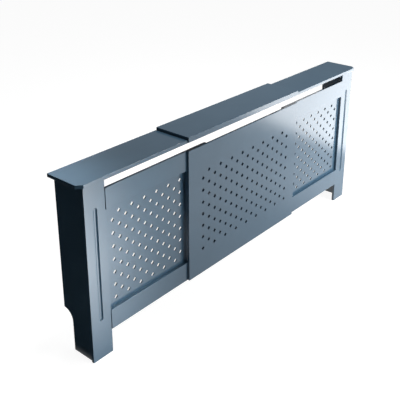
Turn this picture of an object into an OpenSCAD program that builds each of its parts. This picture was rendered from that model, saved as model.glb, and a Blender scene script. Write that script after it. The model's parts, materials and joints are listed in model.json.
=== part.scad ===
// Extendable radiator cover cabinet of painted board.
// Two outer units stand on the floor. Their inner ends slide under a centre shelf
// and behind a pierced centre panel, which bridge the gap between them.
// X runs along the wall, Y towards the wall and Z up from the floor.
// The origin is on the floor under the middle of the whole cabinet.

/* [Overall] */
// Height of the centre shelf's top above the floor
total_h = 815; // [790:5:900]
// Depth of the shelves, from their front edge to the wall
shelf_depth = 184; // [175:1:230]
// Length of an outer unit, from its shelf's outer end to its rails' inner ends
unit_len = 720; // [700:5:760]
// Length of the left unit that the centre panel covers
left_overlap = 127; // [100:1:390]
// Length of the right unit that the centre panel covers
right_overlap = 113; // [100:1:390]

/* [Shelves] */
// Thickness of the outer shelves
shelf_t = 15; // [13:1:22]
// Thickness of the centre shelf
cap_t = 12; // [10:1:18]
// Thickness of the lip along the centre shelf's front edge
lip_t = 6; // [4:1:9]
// Height of the lip
lip_h = 24; // [20:1:30]
// Overhang of an outer shelf past its post at the side
side_overhang = 24; // [10:1:40]
// Overhang of an outer shelf past its post at the front
front_overhang = 8.5; // [6:0.5:20]
// Chamfer on each outer shelf's front corner
shelf_chamfer = 23; // [5:1:40]

/* [Posts] */
// Width of a front post
post_w = 105; // [95:1:130]
// Thickness of a front post
post_t = 13; // [13:1:22]
// Width of the routed groove at the post's face
groove_w = 18; // [6:1:22]
// Depth of the groove
groove_depth = 3; // [2:0.5:5]
// Height of the groove's lower end above the floor
groove_z = 178; // [100:1:250]
// Distance from the groove's upper end to the post's top
groove_top_gap = 102.7; // [40:0.1:200]

/* [Side panels] */
// Thickness of a side panel
side_t = 15; // [14:1:22]
// Step from the post's outer edge in to the side panel's outer face
side_inset = 6; // [0:1:10]
// Height of the cut-out that clears the skirting board
skirting_h = 190; // [80:5:220]
// Depth of that cut-out
skirting_depth = 50; // [15:1:60]

/* [Rails] */
// Height of a rail
rail_h = 92; // [80:1:110]
// Thickness of a rail
rail_t = 12; // [11:1:15]
// Step of the rails' faces in front of the posts
rail_proud = 3; // [2:0.5:4]
// Height of the lower rail's lower edge above the floor
rail_low_z = 110; // [90:5:130]
// Height of the slot for warm air between the upper rails and the shelves
slot_h = 37.7; // [30:0.1:50]
// Height of the packing strips behind the rails
packing_h = 30; // [24:1:34]
// Width of the inner stile between the rails, most of it behind the centre panel
stile_w = 125; // [20:1:130]

/* [Pierced pattern] */
// Side of a square hole, which stands on its corner
hole_side = 13.7; // [10:0.1:16]
// Height from a hole to the next in its column
hole_pitch_z = 59.1; // [50:0.1:62]

/* [Grilles] */
// Thickness of a grille sheet
grille_t = 6; // [3:0.5:9]
// Distance between hole columns in a grille
grille_pitch = 35.7; // [30:0.1:37]
// Hole columns in a grille
grille_columns = 12; // [8:1:15]
// Distance from the post's edge to the first hole column
grille_margin = 43; // [30:1:50]
// Drop of a grille's hole field below the middle of the rails
grille_field_drop = 2; // [-5:0.5:5]
// Lap of the grille over the back of the post
grille_lap = 55; // [30:1:60]

/* [Centre panel] */
// Width of the centre panel and the centre shelf
panel_w = 836; // [820:1:860]
// Thickness of the centre panel
panel_t = 10.5; // [8:0.5:12]
// Distance between hole columns in the centre panel
panel_pitch = 40.9; // [34:0.1:44]
// Hole columns in the centre panel
panel_columns = 17; // [9:2:17]
// Offset of the hole field from the panel's middle
panel_field_shift = 4; // [-10:1:10]

/* [Joining strips] */
// Distance from a slotted joining strip's end to the centre panel's end
strip_inset = 18; // [10:1:30]
// Thickness of the strips
strip_t = 6; // [4:1:8]
// Height of the two strips and the spacers behind the centre panel
strip_h = 36; // [30:1:46]
// Width of the strip under the centre shelf
shelf_strip_w = 60; // [40:1:80]
// Width of the spacers that hold the strips off the panel and the shelf
spacer_w = 40; // [30:1:60]
// Distance from a rail's inner end to its clamp bolt
bolt_inset = 30; // [22:1:40]
// Least length of an outer unit that the centre panel may cover
min_overlap = 100; // [90:1:120]

/* [Battens] */
// Width and depth of the battens inside the corners
batten_w = 20; // [18:1:24]
// Height of the corner batten's lower end above the floor
batten_z = 120; // [60:5:200]
// Gap from the shelf batten's end to the wall
batten_back_gap = 14; // [5:1:30]

/* [Clamp bolts] */
// Diameter of the clamp bolts
bolt_d = 6; // [5:1:8]
// Diameter of the washers
washer_d = 18; // [15:1:20]
// Thickness of the washers
washer_t = 1.6; // [1:0.2:2]
// Height of the wing nuts' hubs
nut_h = 7; // [5:1:9]
// Span of the wing nuts over both wings
wing_span = 30; // [26:1:32]

/* [Wall brackets] */
// Length of each leg of a wall bracket
bracket_leg = 40; // [30:1:50]
// Width of a wall bracket
bracket_w = 20; // [16:1:25]
// Thickness of a wall bracket
bracket_t = 2; // [1.5:0.5:3]
// Diameter of the bracket's holes
bracket_hole_d = 5; // [4:0.5:6]
// Distance from the shelf's outer end to the bracket's middle
bracket_u = 160; // [120:5:260]

/* [Screws and dowels] */
// Diameter of the wood screws
screw_d = 3.5; // [3:0.5:4]
// Diameter of the wood screws' heads
screw_head_d = 7; // [6:0.5:8]
// Depth that a wood screw bites into the board behind a batten
screw_bite = 9; // [6:1:10]
// Diameter of the shelf dowels
dowel_d = 8; // [6:1:8]
// Diameter of the rail dowels
rail_dowel_d = 5; // [4:1:5]
// Length of every dowel
dowel_len = 30; // [24:2:36]

/* [Hidden] */

// Colours of the paint, the bare battens and strips, the dowels and the steel
paint = [0.36, 0.43, 0.49];
bare_board = [0.66, 0.55, 0.41];
beech = [0.80, 0.66, 0.46];
zinc = [0.72, 0.73, 0.75];

// Clearance between pieces that slide on each other
slide_gap = 0.3;
// Clearance round screws, dowels and bolts in their holes
fit_gap = 0.1;
// Overrun of every cut past the face that it starts from
cut = 1;
// Radius of the eased edges on the boards, and the steps in one quarter of it
ease = 1;
ease_steps = 3;
// Facets of round holes, pins and heads
$fn = 48;
// Room left between the units' inner ends and the spacers when fully closed
stop_gap = 1;
// Slope length of a dowel's ends, and the length and blunt end of a screw's tip
dowel_chamfer = 1;
screw_tip = 3;
tip_share = 0.3;
// Cross recess of the wood screws
recess_w = 0.9;
recess_share = 0.62;
recess_depth = 1;
// Pan heads on the grille and bracket screws
pan_head_h = 2;
pan_top_share = 0.72;
// Bite of the grille screws in the rails, and length of the bracket screws
rail_bite = 6;
bracket_screw_len = 12;
// Countersunk head of a clamp bolt, its depth below the surface, and the bolt's free end
bolt_head_d = 12;
bolt_sink = 0.3;
bolt_tail = 3;
// Wing nut: hub at its base and top, wing thickness and the wing's round end
hub_base_d = 13;
hub_top_d = 10;
wing_t = 2.4;
wing_end_r = 4;
wing_rise = 11;
// Inner and outer bend of the wall bracket
bend_r = 2;
// Part of a shelf dowel that enters the shelf, and its least wall of board above
dowel_wall = 4;

// Places along a piece, as shares of its length
post_screw_shares = [0.1, 0.5, 0.9];
side_screw_shares = [0.14, 0.54, 0.86];
batten_side_shares = [0.3, 0.75];
batten_shelf_shares = [0.12, 0.52, 0.92];
grille_screw_shares = [0.1, 0.37, 0.63, 0.9];
grille_side_shares = [0.2, 0.5, 0.8];
rail_dowel_shares = [0.25, 0.75];
post_dowel_shares = [0.2, 0.8];
side_dowel_shares = [0.19, 0.9];
bracket_hole_shares = [0.35, 0.75];
spacer_screw_shares = [-0.25, 0.25];

// Widths, depths and heights that follow from the sizes above
total_w = 2 * unit_len + panel_w - left_overlap - right_overlap;
total_depth = shelf_depth + slide_gap + lip_t;
front_y = lip_t + slide_gap - total_depth / 2;
centre_x = unit_len - left_overlap + panel_w / 2 - total_w / 2;
cap_z = total_h - cap_t;
shelf_z = cap_z - slide_gap - shelf_t;

// Places in a unit, measured in from the shelf's outer end
post_u = side_overhang;
side_u = post_u + side_inset;
batten_u = side_u + side_t;
rail_u = post_u + post_w;
rail_len = unit_len - rail_u;
bolt_u = unit_len - bolt_inset;
grille_u = rail_u - grille_lap;

// Places measured back from the outer shelves' front edge
post_v = front_overhang;
post_back = post_v + post_t;
rail_v = post_v - rail_proud;
rail_back = rail_v + rail_t;
packing_t = post_back - rail_back;
panel_v = rail_v - slide_gap - panel_t;
panel_back = rail_v - slide_gap;
strip_v = rail_back + slide_gap;
batten_back = post_back + batten_w;
grille_back = post_back + grille_t;
shelf_strip_v = shelf_depth / 2;
rail_dowel_v = (post_v + rail_back) / 2;

// Heights above the floor
rail_high_z = shelf_z - slot_h;
rail_top_z = rail_high_z - rail_h;
groove_len = shelf_z - groove_top_gap - groove_z;
field_z = (rail_low_z + rail_high_z) / 2;
packing_top_z = rail_top_z;
packing_low_z = rail_low_z + rail_h - packing_h;
grille_h = packing_top_z + packing_h - packing_low_z;
strip_top_z = (packing_top_z + packing_h + rail_high_z) / 2;
strip_low_z = (rail_low_z + packing_low_z) / 2;
shelf_strip_z = shelf_z - slide_gap - strip_t;

// Rows of holes: as many as stay a hole's side clear of both rails
hole_reach = hole_side * sqrt(2) / 2;
field_h = rail_top_z - rail_low_z - rail_h - 2 * (hole_side + hole_reach);
hole_rows = 1 + floor((field_h - hole_pitch_z / 2) / hole_pitch_z);

// Lengths of the battens, the strips and their spacers, the screws and the bolts
strip_len = panel_w - 2 * strip_inset;
batten_h = shelf_z - batten_z;
shelf_batten_len = shelf_depth - batten_back_gap - batten_back;
side_depth = shelf_depth - post_back;
spacer_t = strip_v - panel_back;
shelf_spacer_t = cap_z - shelf_strip_z - strip_t;
batten_screw_len = batten_w + screw_bite;
grille_screw_len = grille_t + packing_t + rail_bite;
panel_bite = panel_t - 2 * ease;
cap_bite = cap_t - 2 * ease;
clamp_len = slide_gap + strip_t + slide_gap + washer_t + nut_h + bolt_tail - bolt_sink;
slot_r = bolt_d / 2 + slide_gap;
slot_far = panel_w / 2 - min_overlap + bolt_inset;
slot_near = spacer_w / 2 + stop_gap + bolt_inset;
dowel_bury = shelf_t - dowel_wall;

// A left unit starts at the left end; a right unit is its mirror image
module left() {
    translate([-total_w / 2, front_y, 0]) children();
}

module right() {
    mirror([1, 0, 0]) left() children();
}

// The centre pieces are laid out about the middle of the centre panel
module centre() {
    translate([centre_x, front_y, 0]) children();
}

// Outline of a rectangle with eased corners, each an arc of short steps
function eased_rect(w, h, r) = [
    for (quarter = [0 : 3], step = [0 : ease_steps])
        let (turn = 90 * (quarter + step / ease_steps))
        [
            (quarter % 3 == 0 ? w - r : r) + r * cos(turn),
            (quarter < 2 ? h - r : r) + r * sin(turn)
        ]
];

// A board along X, its four long edges eased
module board_x(len, depth, height) {
    rotate([90, 0, 90])
        linear_extrude(len)
            polygon(eased_rect(depth, height, ease));
}

// A board along Z, its four long edges eased
module board_z(width, depth, height) {
    linear_extrude(height)
        polygon(eased_rect(width, depth, ease));
}

// Square holes on their corners about the height mid_z, their columns staggered by half a pitch
module pierced_field(columns, pitch, depth, mid_z) {
    for (column = [0 : columns - 1], row = [0 : hole_rows - 1]) {
        stagger = (column % 2 == 0 ? -1 : 1) * hole_pitch_z / 4;
        hole_z = mid_z + ((hole_rows - 1) / 2 - row) * hole_pitch_z + stagger;
        translate([column * pitch, depth / 2, hole_z])
            rotate([0, 45, 0])
                cube([hole_side, depth + 2 * cut, hole_side], center = true);
    }
}

// Wood screw with a countersunk head: the head's face is at zero and the tip points down
module wood_screw(len) {
    r = screw_d / 2;
    head_r = screw_head_d / 2;
    outline = [
        [0, 0], [head_r, 0], [r, r - head_r],
        [r, screw_tip - len], [r * tip_share, -len], [0, -len]
    ];
    difference() {
        rotate_extrude() polygon(outline);
        cross_recess(screw_head_d);
    }
}

// Cross recess for a head of diameter d, its mouth at zero
module cross_recess(d) {
    for (turn = [0, 90])
        rotate([0, 0, turn])
            cube([d * recess_share, recess_w, 2 * recess_depth], center = true);
}

// The hole that a wood screw needs, with its clearance
module wood_screw_hole(len) {
    r = screw_d / 2 + fit_gap;
    head_r = screw_head_d / 2 + fit_gap;
    translate([0, 0, r - head_r]) cylinder(h = head_r - r, r1 = r, r2 = head_r);
    translate([0, 0, -len - fit_gap]) cylinder(h = len + fit_gap, r = r);
}

// Pan head screw: the head stands on zero and the tip points down
module pan_screw(len) {
    r = screw_d / 2;
    head_r = screw_head_d / 2;
    outline = [
        [0, pan_head_h], [head_r * pan_top_share, pan_head_h], [head_r, 0], [r, 0],
        [r, screw_tip - len], [r * tip_share, -len], [0, -len]
    ];
    difference() {
        rotate_extrude() polygon(outline);
        translate([0, 0, pan_head_h]) cross_recess(screw_head_d);
    }
}

module pan_screw_hole(len) {
    translate([0, 0, -len - fit_gap]) cylinder(h = len + fit_gap + cut, r = screw_d / 2 + fit_gap);
}

// Dowel along Z with sloped ends
module dowel(d, len) {
    r = d / 2;
    end_r = r - dowel_chamfer;
    outline = [
        [0, 0], [end_r, 0], [r, dowel_chamfer],
        [r, len - dowel_chamfer], [end_r, len], [0, len]
    ];
    rotate_extrude() polygon(outline);
}

module dowel_hole(d, len) {
    translate([0, 0, -fit_gap]) cylinder(h = len + 2 * fit_gap, r = d / 2 + fit_gap);
}

// Clamp bolt through a board of thickness t: head sunk below zero, thread pointing down
module clamp_bolt(t) {
    r = bolt_d / 2;
    head_r = bolt_head_d / 2;
    len = t + clamp_len;
    translate([0, 0, -bolt_sink])
        difference() {
            rotate_extrude() polygon([[0, 0], [head_r, 0], [r, r - head_r], [r, -len], [0, -len]]);
            cross_recess(bolt_head_d);
        }
}

module clamp_bolt_hole(t) {
    r = bolt_d / 2 + fit_gap;
    head_r = bolt_head_d / 2 + fit_gap;
    translate([0, 0, -t - cut]) cylinder(h = t + 2 * cut, r = r);
    translate([0, 0, r - head_r - bolt_sink]) cylinder(h = head_r - r, r1 = r, r2 = head_r);
    translate([0, 0, -bolt_sink]) cylinder(h = bolt_sink + cut, r = head_r);
}

module washer() {
    difference() {
        cylinder(h = washer_t, d = washer_d);
        translate([0, 0, -cut]) cylinder(h = washer_t + 2 * cut, r = bolt_d / 2 + fit_gap);
    }
}

// Outline of one wing: a slope up from the hub to a round end
function wing_outline() = let (end_x = wing_span / 2 - wing_end_r) concat(
    [[0, 0], [hub_base_d / 2, 0]],
    [for (turn = [-45 : 15 : 135])
        [end_x + wing_end_r * cos(turn), wing_rise - wing_end_r + wing_end_r * sin(turn)]],
    [[0, nut_h - ease]]
);

// Wing nut that stands on zero, its wings spread along X
module wing_nut() {
    difference() {
        union() {
            cylinder(h = nut_h, d1 = hub_base_d, d2 = hub_top_d);
            for (side = [0, 1])
                mirror([side, 0, 0])
                    translate([0, wing_t / 2, 0])
                        rotate([90, 0, 0])
                            linear_extrude(wing_t)
                                polygon(wing_outline());
        }
        translate([0, 0, -cut]) cylinder(h = wing_rise + 2 * cut, r = bolt_d / 2 + fit_gap);
    }
}

// Places of the screws through the corner batten into the post
module at_post_screws() {
    for (share = post_screw_shares)
        translate([batten_u + batten_w / 2, batten_back, batten_z + share * batten_h])
            rotate([-90, 0, 0])
                children();
}

// Places of the screws through the corner batten into the side panel
module at_side_screws() {
    for (share = side_screw_shares)
        translate([batten_u + batten_w, post_back + batten_w / 2, batten_z + share * batten_h])
            rotate([0, 90, 0])
                children();
}

// Places of the screws through the shelf batten into the side panel
module at_batten_side_screws() {
    for (share = batten_side_shares)
        translate([batten_u + batten_w, batten_back + share * shelf_batten_len, shelf_z - batten_w / 2])
            rotate([0, 90, 0])
                children();
}

// Places of the screws through the shelf batten into the shelf
module at_batten_shelf_screws() {
    for (share = batten_shelf_shares)
        translate([batten_u + batten_w / 2, batten_back + share * shelf_batten_len, shelf_z - batten_w])
            rotate([180, 0, 0])
                children();
}

module at_batten_screws() {
    at_post_screws() children();
    at_side_screws() children();
    at_batten_side_screws() children();
    at_batten_shelf_screws() children();
}

// Places of the screws through the grille and the packing into the rails
module at_rail_grille_screws() {
    for (share = grille_screw_shares, strip_z = [packing_low_z, packing_top_z])
        translate([rail_u + share * rail_len, grille_back, strip_z + packing_h / 2])
            rotate([-90, 0, 0])
                children();
}

// Places of the screws through the grille into an upright, in one row at u
module at_upright_screws(u) {
    for (share = grille_side_shares)
        translate([u, grille_back, packing_low_z + share * grille_h])
            rotate([-90, 0, 0])
                children();
}

module at_post_grille_screws() {
    at_upright_screws(rail_u - grille_lap / 2) children();
}

module at_stile_grille_screws() {
    at_upright_screws(unit_len - stile_w / 2) children();
}

module at_grille_screws() {
    at_rail_grille_screws() children();
    at_post_grille_screws() children();
    at_stile_grille_screws() children();
}

// Places of the shelf dowels in the tops of the post and the side panel
module at_shelf_dowels() {
    for (share = post_dowel_shares)
        translate([post_u + share * post_w, post_v + post_t / 2, shelf_z + dowel_bury - dowel_len])
            children();
    for (share = side_dowel_shares)
        translate([side_u + side_t / 2, post_back + share * side_depth, shelf_z + dowel_bury - dowel_len])
            children();
}

// Places of the dowels that join the rails' outer ends to the post
module at_rail_dowels() {
    for (share = rail_dowel_shares, low_z = [rail_low_z, rail_top_z])
        translate([rail_u - dowel_len / 2, rail_dowel_v, low_z + share * rail_h])
            rotate([0, 90, 0])
                children();
}

// Places of the clamp bolts in the rails, heads in front, and in the shelf, head on top
module at_rail_bolts() {
    for (bolt_z = [strip_low_z, strip_top_z])
        translate([bolt_u, rail_v, bolt_z])
            rotate([90, 0, 0])
                children();
}

module at_shelf_bolt() {
    translate([bolt_u, shelf_strip_v, shelf_z + shelf_t]) children();
}

// Places of the washers behind the rails' strips and under the shelf's strip
module at_washers() {
    for (bolt_z = [strip_low_z, strip_top_z])
        translate([bolt_u, strip_v + strip_t + slide_gap, bolt_z])
            rotate([-90, 0, 0])
                children();
    translate([bolt_u, shelf_strip_v, shelf_strip_z - slide_gap])
        rotate([180, 0, 0])
            children();
}

// Places of the bracket's holes: in the leg under the shelf, and in the leg on the wall
module at_bracket_shelf_holes() {
    for (share = bracket_hole_shares)
        translate([bracket_u, shelf_depth - share * bracket_leg, shelf_z - bracket_t])
            rotate([180, 0, 0])
                children();
}

module at_bracket_wall_holes() {
    for (share = bracket_hole_shares)
        translate([bracket_u, shelf_depth - bracket_t, shelf_z - share * bracket_leg])
            rotate([90, 0, 0])
                children();
}

// Front post: a board on end with a round-bottomed groove routed down its face
module post() {
    groove_r = (groove_w * groove_w / 4 + groove_depth * groove_depth) / (2 * groove_depth);
    color(paint)
        difference() {
            translate([post_u, post_v, 0]) board_z(post_w, post_t, shelf_z);
            translate([post_u + post_w / 2, post_v + groove_depth - groove_r, groove_z + groove_w / 2]) {
                cylinder(h = groove_len - groove_w, r = groove_r);
                sphere(r = groove_r);
                translate([0, 0, groove_len - groove_w]) sphere(r = groove_r);
            }
            at_post_screws() wood_screw_hole(batten_screw_len);
            at_post_grille_screws() pan_screw_hole(grille_screw_len);
            at_shelf_dowels() dowel_hole(dowel_d, dowel_len);
            at_rail_dowels() dowel_hole(rail_dowel_d, dowel_len);
        }
}

// Side panel: its lower back corner is cut out with a quarter round for the skirting board
module side_panel() {
    cut_z = skirting_h - skirting_depth;
    color(paint)
        difference() {
            translate([side_u, post_back, 0]) board_z(side_t, side_depth, shelf_z);
            translate([side_u - cut, shelf_depth - skirting_depth, -cut])
                cube([side_t + 2 * cut, skirting_depth + cut, cut_z + cut]);
            translate([side_u - cut, shelf_depth, cut_z])
                rotate([0, 90, 0])
                    cylinder(h = side_t + 2 * cut, r = skirting_depth);
            at_side_screws() wood_screw_hole(batten_screw_len);
            at_batten_side_screws() wood_screw_hole(batten_screw_len);
            at_shelf_dowels() dowel_hole(dowel_d, dowel_len);
        }
}

// Outer shelf: eased edges along its length and one chamfered front corner
module shelf() {
    outline = [
        [shelf_chamfer, 0], [unit_len, 0], [unit_len, shelf_depth],
        [0, shelf_depth], [0, shelf_chamfer]
    ];
    color(paint)
        difference() {
            intersection() {
                translate([0, 0, shelf_z]) board_x(unit_len, shelf_depth, shelf_t);
                translate([0, 0, shelf_z - cut]) linear_extrude(shelf_t + 2 * cut) polygon(outline);
            }
            at_batten_shelf_screws() wood_screw_hole(batten_screw_len);
            at_bracket_shelf_holes() pan_screw_hole(bracket_screw_len);
            at_shelf_dowels() dowel_hole(dowel_d, dowel_len);
            at_shelf_bolt() clamp_bolt_hole(shelf_t);
        }
}

// Rail with its lower edge at low_z
module rail(low_z) {
    color(paint)
        difference() {
            translate([rail_u, rail_v, low_z]) board_x(rail_len, rail_t, rail_h);
            at_rail_grille_screws() pan_screw_hole(grille_screw_len);
            at_rail_dowels() dowel_hole(rail_dowel_d, dowel_len);
            at_rail_bolts() clamp_bolt_hole(rail_t);
        }
}

// Packing strip behind a rail, which brings the grille flush with the post's back
module packing(low_z) {
    color(paint)
        difference() {
            translate([rail_u, rail_back, low_z]) cube([rail_len, packing_t, packing_h]);
            at_rail_grille_screws() pan_screw_hole(grille_screw_len);
        }
}

// Inner stile: a board as thick as the post, upright between the rails at their inner ends
module inner_stile() {
    low_z = rail_low_z + rail_h;
    color(paint)
        difference() {
            translate([unit_len - stile_w, post_v, low_z]) board_z(stile_w, post_t, rail_top_z - low_z);
            at_stile_grille_screws() pan_screw_hole(grille_screw_len);
        }
}

// Grille sheet, flat against the packing and the back of the post
module grille() {
    color(paint)
        difference() {
            translate([grille_u, post_back, packing_low_z])
                cube([unit_len - grille_u, grille_t, grille_h]);
            translate([rail_u + grille_margin, post_back, 0])
                pierced_field(grille_columns, grille_pitch, grille_t, field_z - grille_field_drop);
            at_grille_screws() pan_screw_hole(grille_screw_len);
        }
}

module corner_batten() {
    color(bare_board)
        difference() {
            translate([batten_u, post_back, batten_z]) board_z(batten_w, batten_w, batten_h);
            at_post_screws() wood_screw_hole(batten_screw_len);
            at_side_screws() wood_screw_hole(batten_screw_len);
        }
}

module shelf_batten() {
    color(bare_board)
        difference() {
            translate([batten_u, batten_back, shelf_z - batten_w])
                cube([batten_w, shelf_batten_len, batten_w]);
            at_batten_side_screws() wood_screw_hole(batten_screw_len);
            at_batten_shelf_screws() wood_screw_hole(batten_screw_len);
        }
}

module dowels() {
    color(beech) {
        at_shelf_dowels() dowel(dowel_d, dowel_len);
        at_rail_dowels() dowel(rail_dowel_d, dowel_len);
    }
}

module batten_screws() {
    color(zinc) at_batten_screws() wood_screw(batten_screw_len);
}

module grille_screws() {
    color(zinc) at_grille_screws() pan_screw(grille_screw_len);
}

module clamp_bolts() {
    color(zinc) {
        at_rail_bolts() clamp_bolt(rail_t);
        at_shelf_bolt() clamp_bolt(shelf_t);
    }
}

module washers() {
    color(zinc) at_washers() washer();
}

module wing_nuts() {
    color(zinc) at_washers() translate([0, 0, washer_t]) wing_nut();
}

// Profile of the bracket from its outer corner: two legs with a rounded bend between them
function bracket_profile() = concat(
    [[bracket_leg, 0], [bracket_leg, bracket_t]],
    [for (turn = [270 : -30 : 180])
        [bracket_t + bend_r + bend_r * cos(turn), bracket_t + bend_r + bend_r * sin(turn)]],
    [[bracket_t, bracket_leg], [0, bracket_leg]],
    [for (turn = [180 : 30 : 270]) [bend_r + bend_r * cos(turn), bend_r + bend_r * sin(turn)]]
);

// Angle bracket under the shelf, its other leg flat on the wall
module wall_bracket() {
    hole_h = bracket_t + 2 * cut;
    color(zinc)
        difference() {
            translate([bracket_u - bracket_w / 2, shelf_depth, shelf_z])
                rotate([180, 0, 0])
                    rotate([90, 0, 90])
                        linear_extrude(bracket_w)
                            polygon(bracket_profile());
            at_bracket_shelf_holes() translate([0, 0, cut - hole_h]) cylinder(h = hole_h, d = bracket_hole_d);
            at_bracket_wall_holes() translate([0, 0, cut - hole_h]) cylinder(h = hole_h, d = bracket_hole_d);
        }
}

module bracket_screws() {
    color(zinc) at_bracket_shelf_holes() pan_screw(bracket_screw_len);
}

// Places of the screws through a joining strip and its spacer into the centre panel
module at_strip_screws(mid_z) {
    for (share = spacer_screw_shares)
        translate([share * spacer_w, strip_v + strip_t, mid_z])
            rotate([-90, 0, 0])
                children();
}

// Places of the screws through the shelf strip and its spacer into the centre shelf
module at_shelf_strip_screws() {
    for (share = spacer_screw_shares)
        translate([0, shelf_strip_v + share * shelf_strip_w, shelf_strip_z])
            rotate([180, 0, 0])
                children();
}

// Slot for a clamp bolt, as long as the units' travel, on both sides of the spacer
module travel_slots(depth) {
    for (side = [0, 1])
        mirror([side, 0, 0]) {
            translate([slot_near, -slot_r, -cut]) cube([slot_far - slot_near, 2 * slot_r, depth + 2 * cut]);
            for (end_x = [slot_near, slot_far])
                translate([end_x, 0, -cut]) cylinder(h = depth + 2 * cut, r = slot_r);
        }
}

// Joining strip behind the rails, held at its middle by a spacer
module panel_strip(mid_z) {
    color(bare_board)
        centre() difference() {
            translate([-strip_len / 2, strip_v, mid_z - strip_h / 2]) cube([strip_len, strip_t, strip_h]);
            translate([0, strip_v + strip_t, mid_z]) rotate([90, 0, 0]) travel_slots(strip_t);
            at_strip_screws(mid_z) wood_screw_hole(strip_t + spacer_t + panel_bite);
        }
}

module panel_spacer(mid_z) {
    color(bare_board)
        centre() difference() {
            translate([-spacer_w / 2, panel_back, mid_z - strip_h / 2]) cube([spacer_w, spacer_t, strip_h]);
            at_strip_screws(mid_z) wood_screw_hole(strip_t + spacer_t + panel_bite);
        }
}

// Centre panel, which slides over the faces of the rails
module centre_panel() {
    field_x = panel_field_shift - panel_pitch * (panel_columns - 1) / 2;
    color(paint)
        centre() difference() {
            translate([-panel_w / 2, panel_v, rail_low_z])
                board_x(panel_w, panel_t, rail_high_z - rail_low_z);
            translate([field_x, panel_v, 0]) pierced_field(panel_columns, panel_pitch, panel_t, field_z);
            at_strip_screws(strip_low_z) wood_screw_hole(strip_t + spacer_t + panel_bite);
            at_strip_screws(strip_top_z) wood_screw_hole(strip_t + spacer_t + panel_bite);
        }
}

module panel_spacer_top() {
    panel_spacer(strip_top_z);
}

module panel_spacer_bottom() {
    panel_spacer(strip_low_z);
}

module panel_strip_top() {
    panel_strip(strip_top_z);
}

module panel_strip_bottom() {
    panel_strip(strip_low_z);
}

module panel_strip_screws() {
    color(zinc)
        centre() {
            at_strip_screws(strip_low_z) wood_screw(strip_t + spacer_t + panel_bite);
            at_strip_screws(strip_top_z) wood_screw(strip_t + spacer_t + panel_bite);
        }
}

// Centre shelf, which slides over the tops of the outer shelves
module centre_shelf() {
    color(paint)
        centre() difference() {
            translate([-panel_w / 2, -slide_gap, cap_z]) board_x(panel_w, shelf_depth + slide_gap, cap_t);
            at_shelf_strip_screws() wood_screw_hole(strip_t + shelf_spacer_t + cap_bite);
        }
}

module centre_shelf_lip() {
    color(paint)
        centre()
            translate([-panel_w / 2, -slide_gap - lip_t, total_h - lip_h])
                board_x(panel_w, lip_t, lip_h);
}

module shelf_spacer() {
    color(bare_board)
        centre() difference() {
            translate([-spacer_w / 2, shelf_strip_v - shelf_strip_w / 2, shelf_strip_z + strip_t])
                cube([spacer_w, shelf_strip_w, shelf_spacer_t]);
            at_shelf_strip_screws() wood_screw_hole(strip_t + shelf_spacer_t + cap_bite);
        }
}

module shelf_strip() {
    color(bare_board)
        centre() difference() {
            translate([-strip_len / 2, shelf_strip_v - shelf_strip_w / 2, shelf_strip_z])
                cube([strip_len, shelf_strip_w, strip_t]);
            translate([0, shelf_strip_v, shelf_strip_z]) travel_slots(strip_t);
            at_shelf_strip_screws() wood_screw_hole(strip_t + shelf_spacer_t + cap_bite);
        }
}

module shelf_strip_screws() {
    color(zinc) centre() at_shelf_strip_screws() wood_screw(strip_t + shelf_spacer_t + cap_bite);
}

module left_post() { left() post(); }
module left_side_panel() { left() side_panel(); }
module left_shelf() { left() shelf(); }
module left_top_rail() { left() rail(rail_top_z); }
module left_bottom_rail() { left() rail(rail_low_z); }
module left_top_packing() { left() packing(packing_top_z); }
module left_bottom_packing() { left() packing(packing_low_z); }
module left_inner_stile() { left() inner_stile(); }
module left_grille() { left() grille(); }
module left_corner_batten() { left() corner_batten(); }
module left_shelf_batten() { left() shelf_batten(); }
module left_dowels() { left() dowels(); }
module left_batten_screws() { left() batten_screws(); }
module left_grille_screws() { left() grille_screws(); }
module left_clamp_bolts() { left() clamp_bolts(); }
module left_washers() { left() washers(); }
module left_wing_nuts() { left() wing_nuts(); }
module left_wall_bracket() { left() wall_bracket(); }
module left_bracket_screws() { left() bracket_screws(); }

module right_post() { right() post(); }
module right_side_panel() { right() side_panel(); }
module right_shelf() { right() shelf(); }
module right_top_rail() { right() rail(rail_top_z); }
module right_bottom_rail() { right() rail(rail_low_z); }
module right_top_packing() { right() packing(packing_top_z); }
module right_bottom_packing() { right() packing(packing_low_z); }
module right_inner_stile() { right() inner_stile(); }
module right_grille() { right() grille(); }
module right_corner_batten() { right() corner_batten(); }
module right_shelf_batten() { right() shelf_batten(); }
module right_dowels() { right() dowels(); }
module right_batten_screws() { right() batten_screws(); }
module right_grille_screws() { right() grille_screws(); }
module right_clamp_bolts() { right() clamp_bolts(); }
module right_washers() { right() washers(); }
module right_wing_nuts() { right() wing_nuts(); }
module right_wall_bracket() { right() wall_bracket(); }
module right_bracket_screws() { right() bracket_screws(); }

centre_panel();
panel_spacer_top();
panel_spacer_bottom();
panel_strip_top();
panel_strip_bottom();
panel_strip_screws();
centre_shelf();
centre_shelf_lip();
shelf_spacer();
shelf_strip();
shelf_strip_screws();
left_post();
left_side_panel();
left_shelf();
left_top_rail();
left_bottom_rail();
left_top_packing();
left_bottom_packing();
left_inner_stile();
left_grille();
left_corner_batten();
left_shelf_batten();
left_dowels();
left_batten_screws();
left_grille_screws();
left_clamp_bolts();
left_washers();
left_wing_nuts();
left_wall_bracket();
left_bracket_screws();
right_post();
right_side_panel();
right_shelf();
right_top_rail();
right_bottom_rail();
right_top_packing();
right_bottom_packing();
right_inner_stile();
right_grille();
right_corner_batten();
right_shelf_batten();
right_dowels();
right_batten_screws();
right_grille_screws();
right_clamp_bolts();
right_washers();
right_wing_nuts();
right_wall_bracket();
right_bracket_screws();
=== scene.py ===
import json
import math

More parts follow.
